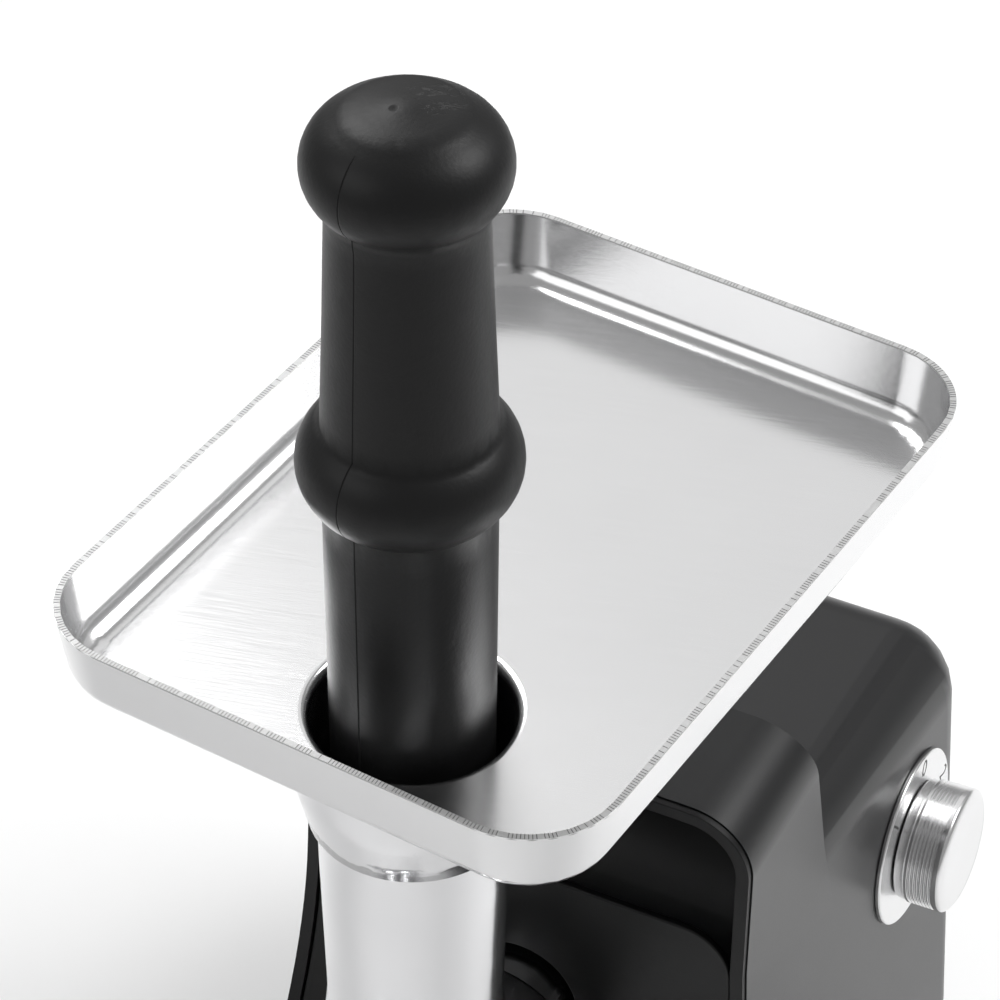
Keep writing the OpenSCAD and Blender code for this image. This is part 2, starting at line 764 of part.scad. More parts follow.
module gearbox_cover() color(black) machine() difference() {
    union() {
        front_view(case_back, case_back + cover_t) {
            case_outline(case_wall);
            for (p = case_ears) translate(p) circle(ear_r);
            hull() {
                translate([0, motor_z]) circle(16, $fn = 32);
                translate([-bolt_offset, motor_z - bolt_offset]) circle(6, $fn = 32);
                translate([bolt_offset, motor_z + bolt_offset]) circle(6, $fn = 32);
            }
        }
        rod(0, motor_z, bearing_r + 3, case_back, case_back + bearing_l + 1);
        rod(0, out_z, 12, case_back, case_back + 6);
        for (p = [[first_x, first_z], [second_x, second_z]]) rod(p[0], p[1], 6, case_back, case_back + 5);
    }
    rod(0, motor_z, bearing_r + 0.02, case_back + 1, case_back + 20);
    rod(0, motor_z, 8, case_back - 1, case_back + 20);
    rod(0, out_z, 8 + fit, case_back - 1, case_back + 5);
    rod(first_x, first_z, pin_r + 0.02, case_back - 1, case_back + 4);
    rod(second_x, second_z, pin_r + 0.02, case_back - 1, case_back + 4);
    case_screw_holes();
    for (p = case_ears) rod(p[0], p[1], 3.9, case_back + cover_t, case_back + 20);
    for (m = [-1, 1])
        rod(m * bolt_offset, motor_z + m * bolt_offset, 2 + fit, case_back - 1, case_back + 10);
}

module gearbox_screws() color(steel) machine() {
    for (p = case_ears) {
        rod(p[0], p[1], screw_r, case_back - 14, case_back + cover_t + 0.5);
        rod(p[0], p[1], 3.6, case_back + cover_t, case_back + cover_t + 2.4);
    }
}

module gear_pins() color(steel) machine() {
    rod(second_x, second_z, pin_r, case_front + 1.5, case_back + 3.8);
    rod(first_x, first_z, pin_r, case_front + 1.5, case_back + 3.8);
}

// Outline of a spur gear: three points on each flank of every tooth, first tooth on +X
function flank_a(rb, r) = let (t = sqrt(max(0, pow(r / rb, 2) - 1))) t * 180 / PI - atan(t);
function gear_points(n, m, add, ded) =
    let (
        rp = n * m / 2, rb = rp * cos(20), rt = rp + add * m, rr = rp - ded * m,
        half = 90 / n + flank_a(rb, rp) - backlash / 2 / rp * 180 / PI / 2,
        rads = [rr, rp - 0.35 * ded * m, rp + 0.35 * add * m, rt],
        side = [for (r = rads) [r, half - flank_a(rb, r)]]
    )
    [for (i = [0:n - 1]) each concat(
        [for (p = side) let (a = 360 * i / n - p[1]) [p[0] * cos(a), p[0] * sin(a)]],
        [for (p = reversed(side)) let (a = 360 * i / n + p[1]) [p[0] * cos(a), p[0] * sin(a)]]
    )];

wheel_add = 0.8;
pinion_add = 0.85;
wheel_ded = 1.15;
pinion_ded = 1.1;

// Spur wheel from s0 to s1, turned by phase
module spur(x, z, n, m, span, phase, add, ded) {
    translate([x, span[0], z]) rotate([-90, 0, 0]) rotate(phase) linear_extrude(span[1] - span[0])
        polygon(gear_points(n, m, add, ded));
}

// Directions between axes as seen along +Y with the sheet's y downwards
dir_3 = atan2(-(second_z - out_z), second_x);
dir_2 = atan2(-(first_z - second_z), first_x - second_x);
dir_1 = atan2(-(motor_z - first_z), -first_x);
phase_out = dir_3;
phase_second = dir_3 + 180 + 180 / pinion_teeth;
phase_second_wheel = dir_2;
phase_first = dir_2 + 180 + 180 / pinion_teeth;
phase_first_wheel = dir_1;
phase_motor = dir_1 + 180 + 180 / pinion_teeth;

module output_gear() color(steel) machine() difference() {
    union() {
        spur(0, out_z, output_teeth, module_3, layer_3, phase_out, wheel_add, wheel_ded);
        rod(0, out_z, 11, case_front - 0.5, layer_3[0] + eps);
        rod(0, out_z, 8, layer_3[1] - eps, case_back + 4);
    }
    translate([0, case_front - 1, out_z]) rotate([-90, 0, 0])
        cylinder(d = (hex_af + 0.4) / cos(30), h = 11, $fn = 6);
}

module second_gear() color(steel) machine() difference() {
    union() {
        spur(second_x, second_z, second_teeth, module_2, layer_2, phase_second_wheel, wheel_add, wheel_ded);
        spur(second_x, second_z, pinion_teeth, module_3, [layer_3[0] - 0.5, layer_2[0] + eps],
             phase_second, pinion_add, pinion_ded);
        rod(second_x, second_z, 5.5, case_front + 4.5, layer_3[0] - 0.5 + eps);
        rod(second_x, second_z, 5.5, layer_2[1] - eps, case_back - 0.5);
    }
    rod(second_x, second_z, pin_r + fit, case_front, case_back);
}

module first_gear() color(steel) machine() difference() {
    union() {
        spur(first_x, first_z, first_teeth, module_1, layer_1, phase_first_wheel, wheel_add, wheel_ded);
        spur(first_x, first_z, pinion_teeth, module_2, [layer_2[0] - 0.5, layer_1[0] + eps],
             phase_first, pinion_add, pinion_ded);
        rod(first_x, first_z, 5, case_front + 4.5, layer_2[0] - 0.5 + eps);
        rod(first_x, first_z, 5, layer_1[1] - eps, case_back - 0.5);
    }
    rod(first_x, first_z, pin_r + fit, case_front, case_back);
}

module motor_shaft() color(steel) machine() {
    spur(0, motor_z, pinion_teeth, module_1, [layer_1[0] - 0.5, layer_1[1] + 0.5], phase_motor,
         pinion_add, pinion_ded);
    rod(0, motor_z, shaft_r, layer_1[1], bracket_s + bearing_l + 3);
}

module armature() color(steel) machine() difference() {
    rod(0, motor_z, armature_r, stator_span[0], stator_span[1]);
    rod(0, motor_z, shaft_r, stator_span[0] - 1, stator_span[1] + 1);
    for (i = [0:11]) translate([0, stator_span[0] - 1, motor_z]) rotate([0, 30 * i, 0])
        translate([-1.5, 0, 12]) cube([3, stator_span[1] - stator_span[0] + 2, 10]);
}

module rotor_winding() color(copper) machine() difference() {
    union() {
        turned(0, motor_z, [[0, stator_span[0] - 9], [10, stator_span[0] - 9], [16, stator_span[0] - 6],
                            [18, stator_span[0]], [0, stator_span[0]]]);
        turned(0, motor_z, [[0, stator_span[1]], [18, stator_span[1]], [16, stator_span[1] + 6],
                            [10, stator_span[1] + 9], [0, stator_span[1] + 9]]);
        for (i = [0:11]) translate([0, stator_span[0] - 1, motor_z]) rotate([0, 30 * i, 0])
            translate([-1.3, 0, 12.2]) cube([2.6, stator_span[1] - stator_span[0] + 2, 7.4]);
    }
    rod(0, motor_z, shaft_r, stator_span[0] - 20, stator_span[1] + 20);
}

module commutator() color(copper) machine() difference() {
    union() {
        rod(0, motor_z, commutator_r, commutator_span[0], commutator_span[1]);
        rod(0, motor_z, commutator_r + 2, stator_span[1] + 9, commutator_span[0] + 1);
    }
    rod(0, motor_z, shaft_r, stator_span[1], commutator_span[1] + 1);
}

module cooling_fan() color(black) machine() difference() {
    union() {
        rod(0, motor_z, fan_r, fan_span[0], fan_span[0] + 1.2);
        front_view(fan_span[0] + 1, fan_span[1]) translate([0, motor_z]) {
            circle(8);
            for (i = [0:8]) rotate(40 * i) translate([6, -0.7]) square([fan_r - 7.5, 1.4]);
        }
    }
    rod(0, motor_z, shaft_r, fan_span[0] - 1, fan_span[1] + 1);
}

// Part of a ring round the motor's axis, above and below the poles
module winding_section(r0, r1, half_a) {
    for (m = [0, 180]) translate([0, motor_z]) rotate(m) polygon(concat(
        arc(0, 0, r0, 90 - half_a, 90 + half_a, 10), arc(0, 0, r1, 90 + half_a, 90 - half_a, 10)
    ));
}

module motor_stator() color(steel) machine() front_view(stator_span[0], stator_span[1]) difference() {
    intersection() {
        translate([-stator_w / 2, motor_z - stator_w / 2]) square(stator_w);
        translate([0, motor_z]) circle(stator_w * 0.69);
    }
    translate([0, motor_z]) circle(armature_r + 0.5);
    winding_section(21, 32.4, 58);
    for (m = [-1, 1]) translate([m * bolt_offset, motor_z + m * bolt_offset]) circle(2 + fit);
}

module field_windings() color(copper) machine()
    front_view(stator_span[0] - winding_out, stator_span[1] + winding_out) winding_section(24, 32.2, 55);

module motor_bearings() color(steel) machine() {
    for (s = [case_back + 1, bracket_s + 0.5]) difference() {
        rod(0, motor_z, bearing_r, s, s + bearing_l);
        rod(0, motor_z, shaft_r + fit, s - 1, s + bearing_l + 1);
    }
}

module motor_bracket() color(steel) machine() difference() {
    union() {
        front_view(bracket_s, bracket_s + 3) hull() {
            translate([0, motor_z]) circle(18, $fn = 32);
            for (m = [-1, 1]) translate([m * bolt_offset, motor_z + m * bolt_offset]) circle(6, $fn = 32);
        }
        rod(0, motor_z, bearing_r + 3, bracket_s, bracket_s + bearing_l + 2);
    }
    rod(0, motor_z, bearing_r + 0.02, bracket_s + 0.5, bracket_s + 20);
    rod(0, motor_z, 8, bracket_s - 1, bracket_s + 20);
    for (m = [-1, 1])
        rod(m * bolt_offset, motor_z + m * bolt_offset, 2 + fit, bracket_s - 1, bracket_s + 10);
}

module motor_bolts() color(steel) machine() for (m = [-1, 1]) {
    rod(m * bolt_offset, motor_z + m * bolt_offset, 2, case_back + 0.5, bracket_s + 3.5);
    rod(m * bolt_offset, motor_z + m * bolt_offset, 3.8, bracket_s + 3, bracket_s + 6);
}

module brush_holders() color("goldenrod") machine() for (m = [0, 1]) mirror([m, 0, 0]) difference() {
    translate([12.5, bracket_s - 11, motor_z - 5.5]) cube([16, 11, 11]);
    translate([12, bracket_s - 9, motor_z - 4.1]) cube([18, 6.2, 8.2]);
}

module carbon_brushes() color(black) machine() for (m = [0, 1]) mirror([m, 0, 0]) difference() {
    translate([8, bracket_s - 8.9, motor_z - 4]) cube([17, 6, 8]);
    rod(0, motor_z, commutator_r + 0.06, bracket_s - 20, bracket_s);
}

module cord_gland() color(black) machine() {
    turned(gland_x, gland_z, [
        [cord_r, body_rear - 5], [gland_r, body_rear - 5], [gland_r, body_rear],
        [gland_r + 2.5, body_rear], [gland_r + 2.5, body_rear + gland_t - 0.6],
        [gland_r + 1.9, body_rear + gland_t], [cord_r, body_rear + gland_t]
    ]);
}

housing();
front_bezel();
front_panel();
base_plate();
rubber_feet();
base_screws();
head_socket();
lock_button();
dial_plate();
knob();
switch_shaft();
rotary_switch();
grinder_head();
auger();
auger_bush();
cutting_blade();
cutting_plate();
ring_nut();
tray();
pusher();
gearbox_case();
gearbox_cover();
gearbox_screws();
gear_pins();
output_gear();
second_gear();
first_gear();
motor_shaft();
armature();
rotor_winding();
commutator();
cooling_fan();
motor_stator();
field_windings();
motor_bearings();
motor_bracket();
motor_bolts();
brush_holders();
carbon_brushes();
cord_gland();
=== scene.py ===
import json
import math

import bmesh
import bpy
from mathutils import Matrix, Vector

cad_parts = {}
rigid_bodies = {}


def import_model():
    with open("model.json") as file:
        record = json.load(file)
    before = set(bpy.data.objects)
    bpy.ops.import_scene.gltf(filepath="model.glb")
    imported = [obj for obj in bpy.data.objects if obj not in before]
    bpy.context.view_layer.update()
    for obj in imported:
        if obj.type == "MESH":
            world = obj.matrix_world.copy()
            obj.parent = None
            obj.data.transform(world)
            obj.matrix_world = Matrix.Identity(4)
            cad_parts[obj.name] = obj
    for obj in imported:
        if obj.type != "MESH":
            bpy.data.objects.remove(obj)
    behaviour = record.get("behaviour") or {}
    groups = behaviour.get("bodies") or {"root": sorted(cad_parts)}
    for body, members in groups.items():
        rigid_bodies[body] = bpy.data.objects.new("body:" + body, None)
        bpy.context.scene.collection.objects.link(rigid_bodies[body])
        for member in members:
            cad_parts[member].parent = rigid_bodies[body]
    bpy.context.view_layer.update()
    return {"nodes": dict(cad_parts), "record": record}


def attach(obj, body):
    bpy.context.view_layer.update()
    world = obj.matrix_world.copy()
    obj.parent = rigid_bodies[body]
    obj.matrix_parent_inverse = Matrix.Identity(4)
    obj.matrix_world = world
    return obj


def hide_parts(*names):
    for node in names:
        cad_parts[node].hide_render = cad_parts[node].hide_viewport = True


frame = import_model()

MM = 0.001

# The feed tube: its axis, and the bead under its flared mouth.
TUBE_Y = -0.08845
BEAD_HEIGHTS = (0.2565, 0.2625)
BEAD_REACH = 23.4 * MM
BEAD_LIFT = 8.0 * MM

# The tray's rim: a rounded rectangle, its middle measured from the tube's axis before the tray's turn.
TRAY_TURN = math.radians(-5.7)
RIM_Z = 0.320
RIM_HALF = (0.0752, 0.1027)
RIM_CORNER = 0.0232
RIM_CORNER_STEPS = 8
RIM_MIDDLE = (-0.0078, 0.0599)
BAND_DROP = 0.21 * MM

# The knob and the dial plate, measured outwards from the side wall.
KNOB_RADIUS = 18.6 * MM
KNOB_HEIGHT = 14.7 * MM
KNOB_LIFT = 2.1 * MM
KNOB_FOOT_EDGE = 0.4 * MM
STEEP = 1000.0  # makes a share of a groove's number jump from 0 to 1
DIAL_TOP = 1.6 * MM
DIGITS = (("1", -42), ("0", 15), ("2", 72))

# The pusher's mould marks: parting line, ejector dimple and gate, the last two on the ball's top.
PARTING_TOP = 0.468
PARTING_TURN = math.radians(-11.0)
PARTING_WIDTH = 0.26 * MM
DIMPLE = (-1.5 * MM, TUBE_Y - 3.0 * MM, 0.4728)
DIMPLE_RADIUS = 1.3 * MM
GATE = (4.0 * MM, TUBE_Y + 6.0 * MM, 0.4720)
GATE_RADIUS = 7.5 * MM

# CAD nodes that get a smooth-shaded copy, and the width of the broken edges of some.
SMOOTHED = ("auger", "housing", "tray", "pusher", "grinder_head", "ring_nut", "head_socket", "cutting_plate",
            "base_plate", "rubber_feet", "lock_button", "dial_plate", "front_bezel", "front_panel",
            "cord_gland")
BROKEN_EDGES = {"front_bezel": 0.5 * MM, "front_panel": 0.6 * MM, "housing": 0.4 * MM, "dial_plate": 0.2 * MM}
BEVEL_FROM = math.radians(40)
MERGE_WITHIN = 3e-6

# Stage and camera.
WORLD_GLOW = 0.32
FLOOR_SIZE = 8.0
CAMERA_PLACE = (0.31790, -0.69058, 0.93450)
CAMERA_TURN = (50.0416, -0.3753, 26.4423)
CAMERA_LENS = 141.30

body_of_node = {n: b for b, members in frame["record"]["behaviour"]["bodies"].items() for n in members}
slot_of_node = {s["node"]: s["material_slot"] for s in frame["record"]["subparts"]}


# ---------------------------------------------------------------- node trees


class Signal:
    """A socket of a sheet whose operators add Math nodes."""

    def __init__(self, sheet, socket):
        self.sheet = sheet
        self.socket = socket

    def maths(self, operation, *others):
        return self.sheet.node("ShaderNodeMath", {"operation": operation}, self, *others)

    def __add__(self, other):
        return self.maths("ADD", other)

    def __radd__(self, other):
        return self.maths("ADD", other)

    def __sub__(self, other):
        return self.maths("SUBTRACT", other)

    def __rsub__(self, other):
        return self.sheet.node("ShaderNodeMath", {"operation": "SUBTRACT"}, other, self)

    def __mul__(self, other):
        return self.maths("MULTIPLY", other)

    def __rmul__(self, other):
        return self.maths("MULTIPLY", other)

    def __truediv__(self, other):
        return self.maths("DIVIDE", other)

    def __pow__(self, other):
        return self.maths("POWER", other)

    def __mod__(self, other):
        return self.maths("MODULO", other)


class Sheet:
    """Shared by shader trees and geometry trees: one method makes any node."""

    tree = None

    def node(self, kind, settings=None, *values, out=0, **named):
        """A node with its settings, then its sockets by place or by name, as a signal of one output."""
        made = self.tree.nodes.new(kind)
        for key, value in (settings or {}).items():
            if key == "stops":
                self.set_stops(made.color_ramp, value)
            else:
                setattr(made, key, value)
        for place, value in list(enumerate(values)) + list(named.items()):
            self.feed(made.inputs[place if isinstance(place, int) else place.replace("_", " ")], value)
        return Signal(self, made.outputs[out])

    def set_stops(self, ramp, stops):
        while len(ramp.elements) < len(stops):
            ramp.elements.new(0.5)
        for element, (place, level) in zip(ramp.elements, stops):
            element.position = place
            element.color = (level, level, level, 1.0)

    def feed(self, socket, value):
        if isinstance(value, Signal):
            self.tree.links.new(value.socket, socket)
        elif isinstance(value, (tuple, list)) and len(value) == 3 and socket.type == "RGBA":
            socket.default_value = (*value, 1.0)
        else:
            socket.default_value = value

    def split(self, vector):
        made = self.node("ShaderNodeSeparateXYZ", None, vector).socket.node
        return [Signal(self, socket) for socket in made.outputs]

    def least(self, first, second):
        return self.node("ShaderNodeMath", {"operation": "MINIMUM"}, first, second)

    def most(self, first, second):
        return self.node("ShaderNodeMath", {"operation": "MAXIMUM"}, first, second)

    def share(self, value):
        """The value held between 0 and 1."""
        return self.node("ShaderNodeMath", {"operation": "ADD", "use_clamp": True}, value, 0.0)


class Finish(Sheet):
    """A procedural material built node by node."""

    def __init__(self, name):
        self.material = bpy.data.materials.new(name)
        self.material.use_nodes = True
        self.tree = self.material.node_tree
        self.tree.nodes.clear()

    def place(self):
        """Object coordinates, in metres of the shared frame."""
        return self.node("ShaderNodeTexCoord", None, out=3)

    def drawn(self, stretch, turn=(0, 0, 0), centre=(0, 0, 0)):
        """Object coordinates about a centre, turned, with the pattern pulled out along each axis."""
        return self.node("ShaderNodeMapping", {"vector_type": "TEXTURE"}, Vector=self.place(), Scale=stretch,
                         Rotation=turn, Location=centre)

    def noise(self, scale, detail=3.0, rough=0.5, vector=None, distort=0.0):
        return self.node("ShaderNodeTexNoise", None, Vector=vector or self.place(), Scale=scale,
                         Detail=detail, Roughness=rough, Distortion=distort)

    def near(self, value, width):
        """1 where the value is 0, fading to 0 at the width."""
        return self.share(1.0 - value.maths("ABSOLUTE") / width)

    def ball_mask(self, centre, radius):
        """1 at the centre, 0 beyond the radius."""
        away = self.node("ShaderNodeVectorMath", {"operation": "DISTANCE"}, self.place(), centre, out=1)
        return self.share(1.0 - away / radius)

    def blend_colour(self, factor, first, second):
        made = self.tree.nodes.new("ShaderNodeMix")
        made.data_type = "RGBA"
        self.feed(made.inputs["Factor"], factor)
        for socket, value in zip([s for s in made.inputs if s.type == "RGBA"], (first, second)):
            self.feed(socket, value)
        return Signal(self, [s for s in made.outputs if s.type == "RGBA"][0])

    def ramp(self, factor, stops):
        return self.node("ShaderNodeValToRGB", {"stops": stops}, factor)

    def bump(self, height, strength, distance, normal=None):
        extra = {"Normal": normal} if normal else {}
        return self.node("ShaderNodeBump", None, Strength=strength, Distance=distance, Height=height, **extra)

    def surface(self, colour, rough, metal=0.0, normal=None, **constants):
        shader = self.tree.nodes.new("ShaderNodeBsdfPrincipled")
        self.feed(shader.inputs["Base Color"], colour)
        self.feed(shader.inputs["Roughness"], rough)
        self.feed(shader.inputs["Metallic"], metal)
        for name, value in constants.items():
            self.feed(shader.inputs[name.replace("_", " ")], value)
        if normal:
            self.feed(shader.inputs["Normal"], normal)
        sink = self.tree.nodes.new("ShaderNodeOutputMaterial")
        self.tree.links.new(shader.outputs[0], sink.inputs["Surface"])
        return self.material


class Rule(Sheet):
    """A geometry tree with named sizes, set by identifier on the object that it shapes."""

    kinds = {float: "NodeSocketFloat", int: "NodeSocketInt"}

    def __init__(self, name, takes_shape=False):
        self.tree = bpy.data.node_groups.new(name, "GeometryNodeTree")
        self.tree.is_modifier = True
        self.ids = {}
        self.values = {}
        self.entry = self.tree.nodes.new("NodeGroupInput")
        self.exit = self.tree.nodes.new("NodeGroupOutput")
        self.tree.interface.new_socket("Geometry", in_out="OUTPUT", socket_type="NodeSocketGeometry")
        if takes_shape:
            self.tree.interface.new_socket("Geometry", in_out="INPUT", socket_type="NodeSocketGeometry")

    def size(self, name, value):
        made = self.tree.interface.new_socket(name, in_out="INPUT", socket_type=self.kinds[type(value)])
        self.ids[name] = made.identifier
        self.values[name] = value
        return Signal(self, self.entry.outputs[name])

    def shape(self):
        return Signal(self, self.entry.outputs["Geometry"])

    def finish(self, geometry, material):
        real = self.node("GeometryNodeRealizeInstances", None, geometry)
        coated = self.node("GeometryNodeSetMaterial", None, Geometry=real, Material=material)
        self.tree.links.new(coated.socket, self.exit.inputs["Geometry"])

    def made_mesh(self, name, base=None):
        """Runs the tree on a helper object and returns the plain mesh."""
        helper = bpy.data.objects.new(name + "_maker", base or bpy.data.meshes.new(name + "_base"))
        bpy.context.scene.collection.objects.link(helper)
        shaper = helper.modifiers.new("rule", "NODES")
        shaper.node_group = self.tree
        for size, identifier in self.ids.items():
            shaper[identifier] = self.values[size]
        seen = helper.evaluated_get(bpy.context.evaluated_depsgraph_get())
        mesh = bpy.data.meshes.new_from_object(seen)
        bpy.data.objects.remove(helper)
        mesh.name = name
        return mesh


# ---------------------------------------------------------------- finishes


def pressed_sheet():
    """Bright sheet with fine polishing lines across it, a few specks and cloudy gloss."""
    f = Finish("pressed_sheet")
    lines = f.noise(1100.0, 3.0, 0.7, f.drawn((26.0, 1.0, 1.0), (0, 0, math.radians(14))))
    cloud = f.noise(11.0, 3.0)
    fleck = f.ramp(f.noise(330.0, 3.0, 0.8), [(0.70, 0.0), (0.80, 1.0)])
    colour = f.blend_colour(f.share(cloud * 0.6 + lines * 0.4), (0.80, 0.80, 0.805), (0.90, 0.90, 0.905))
    colour = f.blend_colour(fleck * 0.25, colour, (0.5, 0.5, 0.5))
    rough = 0.11 + cloud * 0.06 + lines * 0.08
    return f.surface(colour, rough, 1.0, f.bump(lines, 0.18, 0.0001))


def sheared_edge(name, shade, rough_level):
    """Torn grainy metal, as shears leave it."""
    f = Finish(name)
    grain = f.noise(1400.0, 3.0, 0.7)
    colour = f.blend_colour(grain, (shade, shade, shade), (shade * 1.6, shade * 1.6, shade * 1.6))
    return f.surface(colour, rough_level + grain * 0.2, 1.0, f.bump(grain, 0.3, 0.0001))


def cast_polish():
    """Buffed casting: soft waves under fine buffing lines that run round it."""
    f = Finish("cast_polish")
    wave = f.noise(38.0, 3.0)
    lines = f.noise(900.0, 2.0, 0.6, f.drawn((1.0, 1.0, 14.0)))
    pit = f.ramp(f.noise(520.0, 2.0, 0.8), [(0.72, 0.0), (0.80, 1.0)])
    colour = f.blend_colour(wave, (0.84, 0.84, 0.85), (0.92, 0.92, 0.93))
    colour = f.blend_colour(pit * 0.3, colour, (0.45, 0.45, 0.46))
    rough = 0.09 + wave * 0.08 + lines * 0.06
    return f.surface(colour, rough, 1.0, f.bump(wave, 0.10, 0.0006, f.bump(lines, 0.10, 0.0001)))


def moulded_black(name, rough_level, shade=0.0045, peel=0.10):
    """Moulded plastic with an orange-peel skin and slight changes in its gloss."""
    f = Finish(name)
    cloud = f.noise(28.0, 3.0)
    skin = f.noise(1150.0, 2.0)
    colour = f.blend_colour(cloud, (shade, shade, shade * 1.04), (shade * 1.5, shade * 1.5, shade * 1.6))
    return f.surface(colour, rough_level + cloud * 0.07 + skin * 0.05, 0.0, f.bump(skin, peel, 0.0002),
                     Specular_IOR_Level=0.28)


def pusher_black():
    """The pusher's plastic: orange peel, the mould's parting line, its gate and the mark of the ejector; the
    parting line and the ejector's dimple are darkened as painted shade.
    """
    f = Finish("pusher_black")
    x, y, z = f.split(f.place())
    across = x * math.cos(PARTING_TURN) + (y - TUBE_Y) * math.sin(PARTING_TURN)
    parting = f.near(across, PARTING_WIDTH) * f.share((PARTING_TOP - z) / MM)
    skin = f.noise(900.0, 2.5)
    cloud = f.noise(22.0, 3.0)
    dimple = f.ball_mask(DIMPLE, DIMPLE_RADIUS)
    torn = f.ramp(f.noise(420.0, 3.0, 0.7, f.drawn((3.0, 1.0, 1.0), (0, 0, math.radians(40))), 1.2),
                  [(0.53, 0.0), (0.60, 1.0)])
    scuff = f.share(f.ball_mask(GATE, GATE_RADIUS) * 2.0) * torn
    shade = f.blend_colour(cloud, (0.0050, 0.0050, 0.0052), (0.0085, 0.0085, 0.0090))
    # Darker in the parting line and the ejector's dimple: painted shade in the groove and the hollow.
    shade = f.blend_colour(f.share(parting + dimple), shade, (0.0015, 0.0015, 0.0015))
    shade = f.blend_colour(scuff * 0.6, shade, (0.05, 0.05, 0.05))
    height = skin * 0.30 - parting * 2.5 - dimple * 3.0 - scuff * 2.4
    rough = 0.38 + cloud * 0.06 + skin * 0.06 + f.share(parting + dimple) * 0.5
    return f.surface(shade, rough, 0.0, f.bump(height, 0.35, 0.0004), Specular_IOR_Level=0.34)


def body_paint():
    """Dark satin paint with fine flake and a faint unevenness from the spray gun."""
    f = Finish("body_paint")
    cloud = f.noise(14.0, 3.0)
    flake = f.noise(2400.0, 1.0)
    colour = f.blend_colour(flake, (0.007, 0.007, 0.0075), (0.014, 0.014, 0.015))
    return f.surface(colour, 0.29 + cloud * 0.05 + flake * 0.06, 0.0, f.bump(flake, 0.05, 0.0002),
                     Specular_IOR_Level=0.52)


def ground_steel(name="ground_steel", shade=0.62, stretch=(1.0, 12.0, 1.0), rough_level=0.22):
    """Machined metal with its tool lines pulled out along the stretch."""
    f = Finish(name)
    cloud = f.noise(40.0, 3.0)
    lines = f.noise(900.0, 2.0, 0.6, f.drawn(stretch))
    colour = f.blend_colour(cloud, (shade, shade, shade), (shade * 1.12, shade * 1.12, shade * 1.13))
    return f.surface(colour, rough_level + lines * 0.12 + cloud * 0.06, 1.0, f.bump(lines, 0.14, 0.0001))


def soft_rubber():
    """Dull grainy rubber."""
    f = Finish("soft_rubber")
    grain = f.noise(900.0, 3.0)
    colour = f.blend_colour(grain, (0.02, 0.02, 0.02), (0.035, 0.035, 0.035))
    return f.surface(colour, 0.75 + grain * 0.1, 0.0, f.bump(grain, 0.3, 0.0003))


def copper_wire():
    """Enamelled wire, its turns as fine bands, darker between the turns as painted shade."""
    f = Finish("copper_wire")
    turns = f.node("ShaderNodeTexWave", {"wave_type": "BANDS", "bands_direction": "Y"}, Vector=f.place(),
                   Scale=420.0, Distortion=0.6, Detail=1.0)
    # The dark stripes between the turns are painted shade.
    colour = f.blend_colour(turns, (0.28, 0.10, 0.045), (0.62, 0.28, 0.14))
    return f.surface(colour, 0.32 + turns * 0.1, 0.9, f.bump(turns, 0.5, 0.0004))


def printed_ink():
    """Thin dark print."""
    f = Finish("printed_ink")
    grain = f.noise(1300.0, 3.0)
    colour = f.blend_colour(grain, (0.03, 0.03, 0.03), (0.09, 0.09, 0.09))
    return f.surface(colour, 0.45 + grain * 0.1)


FINISHES = {
    "tray_metal": pressed_sheet(),
    "head_metal": cast_polish(),
    "tool_steel": ground_steel(),
    "control_metal": ground_steel("turned_aluminium", 0.78, (1.0, 24.0, 24.0), 0.15),
    "body_paint": body_paint(),
    "black_plastic": moulded_black("moulded_black", 0.34),
    "pusher_plastic": pusher_black(),
    "soft_rubber": soft_rubber(),
    "copper": copper_wire(),
    "brush_brass": ground_steel("stamped_brass", 0.6),
    "carbon": moulded_black("pressed_carbon", 0.5, 0.02, 0.3),
}
SHEARED = sheared_edge("sheared_edge", 0.46, 0.42)
# The shear marks' dark colour is painted shade, standing for the shade in the grooves between the marks.
BURR_PAINTED_SHADE = sheared_edge("shear_burr_painted_shade", 0.16, 0.50)
INK = printed_ink()


# ---------------------------------------------------------------- pieces


def settle(piece, body, slot, stands_for=(), finish=None):
    """Links a piece, gives it its finish and puts it on its body in place of the nodes it stands for."""
    bpy.context.scene.collection.objects.link(piece)
    piece.data.materials.clear()
    piece.data.materials.append(finish or FINISHES[slot])
    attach(piece, body)
    if stands_for:
        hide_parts(*stands_for)


def raise_bead(work):
    """Lifts the small bead under the feed tube's flared mouth to its place close under the tray."""
    low, high = BEAD_HEIGHTS
    for vert in work.verts:
        if low < vert.co.z < high and math.hypot(vert.co.x, vert.co.y - TUBE_Y) > BEAD_REACH:
            vert.co.z += BEAD_LIFT


def smooth_copy(node, crease=28.0, edge=0.0):
    """A merged copy of a CAD node, shaded smooth up to the crease angle, its sharp edges broken."""
    mesh = frame["nodes"][node].data.copy()
    work = bmesh.new()
    work.from_mesh(mesh)
    bmesh.ops.remove_doubles(work, verts=work.verts, dist=MERGE_WITHIN)
    if edge:
        bmesh.ops.dissolve_limit(work, angle_limit=math.radians(0.2), verts=work.verts, edges=work.edges)
    if node == "grinder_head":
        raise_bead(work)
    work.to_mesh(mesh)
    work.free()
    mesh.polygons.foreach_set("use_smooth", [True] * len(mesh.polygons))
    mesh.set_sharp_from_angle(angle=math.radians(crease))
    piece = bpy.data.objects.new(node + "_skin", mesh)
    settle(piece, body_of_node[node], slot_of_node[node], (node,))
    if edge:
        bevel = piece.modifiers.new("edges", "BEVEL")
        bevel.width = edge
        bevel.segments = 3
        bevel.limit_method = "ANGLE"
        bevel.angle_limit = BEVEL_FROM
    normals = piece.modifiers.new("normals", "WEIGHTED_NORMAL")
    normals.keep_sharp = not edge


for part in frame["nodes"]:
    if part in SMOOTHED:
        smooth_copy(part, edge=BROKEN_EDGES.get(part, 0.0))
    elif part != "knob":
        own = frame["nodes"][part].data.materials
        own.clear()
        own.append(FINISHES[slot_of_node[part]])


